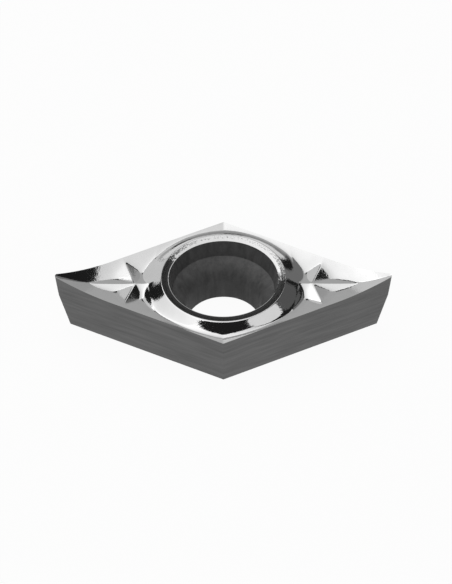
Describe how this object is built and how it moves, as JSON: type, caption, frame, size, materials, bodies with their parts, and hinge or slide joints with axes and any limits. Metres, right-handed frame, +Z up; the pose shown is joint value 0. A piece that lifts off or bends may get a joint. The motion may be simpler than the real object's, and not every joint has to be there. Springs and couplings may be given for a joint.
{
  "type": "carbide turning insert",
  "caption": "Rhombic indexable cutting insert with relieved flanks, polished chip-breaker face, sharp rising edges and a countersunk screw hole, for fine turning of soft metals.",
  "frame": {"origin": "centre of the bottom face, on the axis of the screw hole", "axes": "+X along the long diagonal to an acute corner, +Y along the short diagonal to an obtuse corner, +Z up to the rake face"},
  "size_m": [0.0202, 0.0106, 0.004],
  "materials": {
    "insert": "uncoated cemented carbide: mirror-polished rake face, fine-ground flanks, sintered hole"
  },
  "bodies": {
    "root": {"insert": "insert"}
  },
  "joints": []
}
